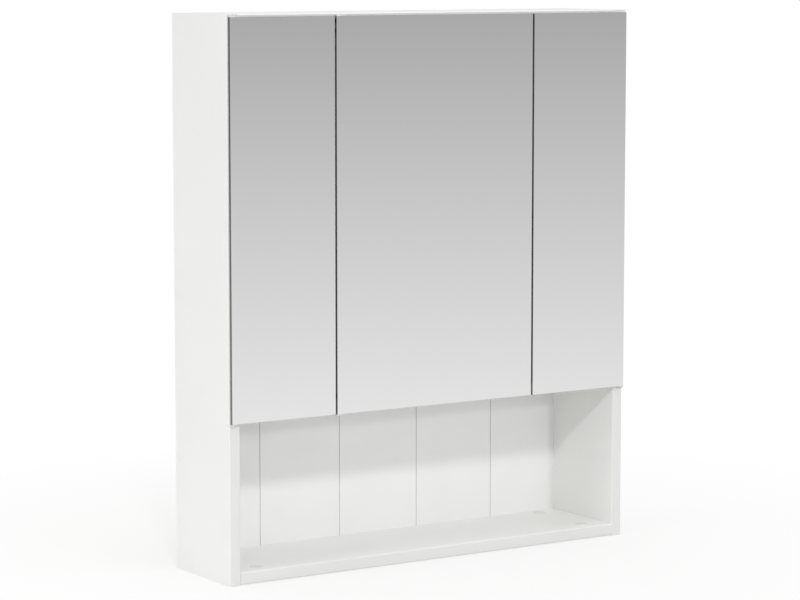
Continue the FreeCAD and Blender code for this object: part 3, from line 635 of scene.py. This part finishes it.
# Pivot brackets: white powder-coated steel, let flush into the front edges and bent forward past the ends of
# the glass. A steel pin in each tab carries the door, and countersunk screws hold the leg.
POWDER_WHITES = ((0.75, 0.75, 0.745), (0.77, 0.77, 0.765))
POWDER_GLOSS = (0.4, 0.52)
LEG_STEM_RADIUS = 0.0014
LEG_TIP_RADIUS = 0.00015
LEG_POINT_LONG = 0.0035
LEG_CONE_RISE = 0.0008
LEG_FACE_RISE = 0.0002
LEG_FACE_ROUND = 0.00017
DOOR_NAMES = ("left", "centre", "right")
DOOR_ENDS = ("upper", "lower")
powder_coat = coat("white_powder_coat", POWDER_WHITES, gloss=POWDER_GLOSS, **PLASTIC_SURFACE)
for door in DOOR_NAMES:
    for end in DOOR_ENDS:
        dressed_copy(f"{door}_{end}_bracket", f"{door}_{end}_bracket_coat", [powder_coat])
        dressed_copy(f"{door}_{end}_pin", f"{door}_{end}_pin_steel", [plated_steel])
leg_low, leg_high = solids_of("bracket_screws")[0]
leg_head_radius = (leg_high.x - leg_low.x) / 2
leg_long = leg_high.y - leg_low.y
leg_head_rise = LEG_CONE_RISE + LEG_FACE_RISE


def face_room(low, high):
    """Stands a turned piece on its rear end, facing the room."""
    return middle_of(low, high, y=high.y), (0, -1, 0)


turned_set("bracket_screws", "bracket_screw_set", plated_steel, {
    "Tip": (LEG_TIP_RADIUS, 0),
    "Point": (LEG_STEM_RADIUS, LEG_POINT_LONG),
    "Stem": (LEG_STEM_RADIUS, leg_long - leg_head_rise - LEG_POINT_LONG),
    "Cone": (leg_head_radius, LEG_CONE_RISE),
    "Face": (leg_head_radius - LEG_FACE_ROUND, LEG_FACE_RISE),
}, face_room, cut_cross, **cross_recess(leg_head_radius, leg_head_rise, leg_long))

# Mirror doors: plain float glass, silvered and painted behind, with ground and polished edges that look
# dark. The shoes that take the pivot pins and the disc for the catch are bonded to the back.
SILVER = (0.88, 0.88, 0.88)
SILVER_GLOSS = (0.004, 0.012)
SILVER_PATCH = 0.2
GLASS_EDGE_TONES = ((0.155, 0.175, 0.167), (0.19, 0.205, 0.20))
GLASS_EDGE_CLOUD = 0.025
GLASS_EDGE_METALLIC = 0.95
GLASS_EDGE_ROUGHNESS = 0.08
PAINT_TONES = ((0.30, 0.33, 0.34), (0.33, 0.36, 0.37))
PAINT_SURFACE = {"cloud": 0.014, "gloss": (0.4, 0.55), "patch": 0.0033, "grain": 0.0011, "relief": 0.000012}
ARRIS = 0.00025
ARRIS_STEPS = 2
ARRIS_PROFILE = 0.6
PANE_TURN = 0.95
STRIKE_ROUND = 0.00015


def make_silver():
    """Silvered glass: a clear mirror with a trace of uneven gloss."""
    silver = Finish("silvered_glass")
    gloss = silver.spread(silver.speckle(SILVER_PATCH), *SILVER_GLOSS)
    silver.shade({"Base Color": (*SILVER, 1), "Metallic": 1.0, "Roughness": gloss})
    return silver.material


def make_glass_edge():
    """Polished glass edge: deep grey-green, nearly as bright as a mirror at a low angle."""
    edge = Finish("polished_glass_edge")
    tint = edge.two_tone(edge.speckle(GLASS_EDGE_CLOUD), *GLASS_EDGE_TONES)
    edge.shade({"Base Color": tint, "Metallic": GLASS_EDGE_METALLIC, "Roughness": GLASS_EDGE_ROUGHNESS})
    return edge.material


mirror_finishes = [
    make_silver(),
    make_glass_edge(),
    coat("mirror_back_paint", PAINT_TONES, **PAINT_SURFACE),
]
SILVERED, EDGE, PAINTED = range(len(mirror_finishes))


def mirror_pane(door):
    """A pane with narrow ground arrises, silvered face, dark edges and painted back."""
    low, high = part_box(f"{door}_mirror")
    form = bmesh.new()
    size = Matrix.Diagonal((*(high - low), 1))
    bmesh.ops.create_cube(form, size=1.0, matrix=Matrix.Translation((low + high) / 2) @ size)
    bmesh.ops.bevel(form, geom=form.edges[:], offset=ARRIS, segments=ARRIS_STEPS, profile=ARRIS_PROFILE,
                    affect="EDGES")
    for face in form.faces:
        turn = face.normal.y
        face.material_index = SILVERED if turn < -PANE_TURN else PAINTED if turn > PANE_TURN else EDGE
    stand_for(new_piece(form, f"{door}_mirror_pane", mirror_finishes), f"{door}_mirror")


strike_low, strike_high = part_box("left_strike")
strike_radius = (strike_high.x - strike_low.x) / 2
strike_rings = rimmed(strike_radius, strike_high.y - strike_low.y, STRIKE_ROUND, STRIKE_ROUND)
for door in DOOR_NAMES:
    mirror_pane(door)
    turned_set(f"{door}_strike", f"{door}_strike_disc", nickel, strike_rings, face_wall)
    for end in DOOR_ENDS:
        dressed_copy(f"{door}_{end}_shoe", f"{door}_{end}_shoe_coat", [powder_coat])

# Catches and bumpers: a small magnet in the partition's edge for each door, and clear soft domes beside it
# that stop the glass without a knock.
PAD_TONES = ((0.76, 0.77, 0.77), (0.80, 0.81, 0.81))
PAD_GLOSS = (0.2, 0.3)
PAD_ROUND_IN = 0.0014
PAD_ROUND_UP = 0.00042
MAGNET_ROUND = 0.0002
magnet_low, magnet_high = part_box("left_magnet")
magnet_radius = (magnet_high.x - magnet_low.x) / 2
magnet_rings = rimmed(magnet_radius, magnet_high.y - magnet_low.y, MAGNET_ROUND, MAGNET_ROUND)
for door in DOOR_NAMES:
    turned_set(f"{door}_magnet", f"{door}_magnet_rod", nickel, magnet_rings, face_room)
pad_plastic = coat("clear_soft_pad", PAD_TONES, gloss=PAD_GLOSS, **PLASTIC_SURFACE)
pad_low, pad_high = solids_of("door_bumpers")[0]
pad_radius = (pad_high.x - pad_low.x) / 2
pad_rise = pad_high.y - pad_low.y
pad_rings = rimmed(pad_radius, pad_rise, PAD_ROUND_IN, PAD_ROUND_UP)
turned_set("door_bumpers", "door_bumper_set", pad_plastic, pad_rings, face_room)

# Studio floor: a pale matt disc that holds the cabinet's shadow and fades out at its rim, into white for the
# camera and into the shaded surround for the mirrors.
WHITE = (1, 1, 1, 1)
FLOOR_RADIUS = 1.1
FLOOR_SIDES = 96
FLOOR_DROP = 0.0003
FLOOR_TONE = (0.85, 0.85, 0.84, 1)
FLOOR_ROUGHNESS = 0.9
FLOOR_NEAR = 0.25
FLOOR_FAR = 0.88
FLOOR_NEAR_WHITE = 0.7


def make_floor_finish():
    """A lit surface near the cabinet; further out it turns white to the camera and clear to the mirrors."""
    floor_finish = Finish("studio_floor")
    tree = floor_finish.tree
    floor_finish.shade({"Base Color": FLOOR_TONE, "Roughness": FLOOR_ROUGHNESS})
    white = grow(tree, "ShaderNodeEmission", {"Color": WHITE, "Strength": 1.0})["Emission"]
    clear = grow(tree, "ShaderNodeBsdfTransparent", {"Color": WHITE})["BSDF"]
    away = grow(tree, "ShaderNodeVectorMath", {0: floor_finish.place}, operation="LENGTH")["Value"]
    reach = {"Value": away, "From Min": FLOOR_NEAR, "From Max": FLOOR_FAR, "To Min": FLOOR_NEAR_WHITE}
    fade = grow(tree, "ShaderNodeMapRange", reach)["Result"]
    path = grow(tree, "ShaderNodeLightPath")
    seen = path["Is Camera Ray"]
    for ray in ("Is Glossy Ray", "Is Transmission Ray"):
        seen = grow(tree, "ShaderNodeMath", {0: seen, 1: path[ray]}, operation="MAXIMUM")["Value"]
    share = grow(tree, "ShaderNodeMath", {0: seen, 1: fade}, operation="MULTIPLY")["Value"]
    beyond = grow(tree, "ShaderNodeMixShader", {0: path["Is Camera Ray"], 1: clear, 2: white})["Shader"]
    surface = grow(tree, "ShaderNodeMixShader", {0: share, 1: floor_finish.shader.outputs["BSDF"], 2: beyond})
    plug(tree, tree.nodes["Material Output"], {"Surface": surface["Shader"]})
    return floor_finish.material


floor_form = bmesh.new()
floor_middle = Matrix.Translation((0, 0, -FLOOR_DROP))
bmesh.ops.create_circle(floor_form, cap_ends=True, segments=FLOOR_SIDES, radius=FLOOR_RADIUS,
                        matrix=floor_middle)
new_piece(floor_form, "floor", [make_floor_finish()])

# Studio light: a soft white sky and four round lamps, a key above on the left and weaker ones in front, at
# the side and overhead. The mirrors see a shaded surround that is white just below the horizon.
SKY_LIGHT = 0.655
# Degrees below the horizon and the level that the mirrors see there
SURROUND = ((42.0, 0.36), (11.3, 1.0), (0.0, 0.39))
# Lamp name: place, aim, width across and power in watts
LAMPS = {
    "key_lamp": ((-2.4, -5.0, 4.04), (0, -0.07, 0.2), 0.64, 125),
    "front_lamp": ((0.5, -4.0, 1.35), (0, -0.07, 0.2), 0.35, 19),
    "left_lamp": ((-3.6, 0, 2.2), (-0.3, 0, 0.6), 2.0, 25),
    "top_lamp": ((0, -0.1, 3.4), (0, 0, 0.7), 1.5, 22),
}
world = bpy.data.worlds.new("studio")
bpy.context.scene.world = world
world.use_nodes = True
sky = world.node_tree
sky.nodes.clear()
path = grow(sky, "ShaderNodeLightPath")
outward = grow(sky, "ShaderNodeTexCoord")["Generated"]
climb = grow(sky, "ShaderNodeSeparateXYZ", {"Vector": outward})["Z"]
surround = SURROUND[0][1]
for (below, _), (above, level) in zip(SURROUND, SURROUND[1:]):
    start, end = -math.sin(math.radians(below)), -math.sin(math.radians(above))
    reach = {"Value": climb, "From Min": start, "From Max": end, "To Min": surround, "To Max": level}
    surround = grow(sky, "ShaderNodeMapRange", reach)["Result"]
soft_light, reflected, backdrop = (
    grow(sky, "ShaderNodeBackground", {"Color": WHITE, "Strength": strength})["Background"]
    for strength in (SKY_LIGHT, surround, 1.0)
)
rays = {0: path["Is Glossy Ray"], 1: path["Is Transmission Ray"]}
shiny = grow(sky, "ShaderNodeMath", rays, operation="MAXIMUM")["Value"]
around = grow(sky, "ShaderNodeMixShader", {0: shiny, 1: soft_light, 2: reflected})["Shader"]
whole = grow(sky, "ShaderNodeMixShader", {0: path["Is Camera Ray"], 1: around, 2: backdrop})["Shader"]
grow(sky, "ShaderNodeOutputWorld", {"Surface": whole})
for name, (place, aim, across, power) in LAMPS.items():
    lamp_data = bpy.data.lights.new(name, "AREA")
    lamp_data.shape = "DISK"
    lamp_data.size = across
    lamp_data.energy = power
    lamp = bpy.data.objects.new(name, lamp_data)
    lamp.location = place
    lamp.rotation_euler = (Vector(aim) - Vector(place)).to_track_quat("-Z", "Y").to_euler()
    lamp.visible_glossy = False
    bpy.context.scene.collection.objects.link(lamp)

# Camera: left of the cabinet, a little above its top, through a long lens.
# It has no shift, so that the cabinet stays in the middle of any other view.
CAMERA_PLACE = (-2.0175, -3.0959, 0.7665)
CAMERA_TURN = math.radians(32.972)
CAMERA_TILT = math.radians(6.748)
CAMERA_LENS = 129.84
CAMERA_SENSOR = 36
camera_data = bpy.data.cameras.new("camera")
camera_data.sensor_width = CAMERA_SENSOR
camera_data.lens = CAMERA_LENS
camera = bpy.data.objects.new("camera", camera_data)
camera.location = CAMERA_PLACE
camera.rotation_euler = (math.pi / 2 - CAMERA_TILT, 0, -CAMERA_TURN)
bpy.context.scene.collection.objects.link(camera)
bpy.context.scene.camera = camera
bpy.context.scene.view_settings.view_transform = "Standard"
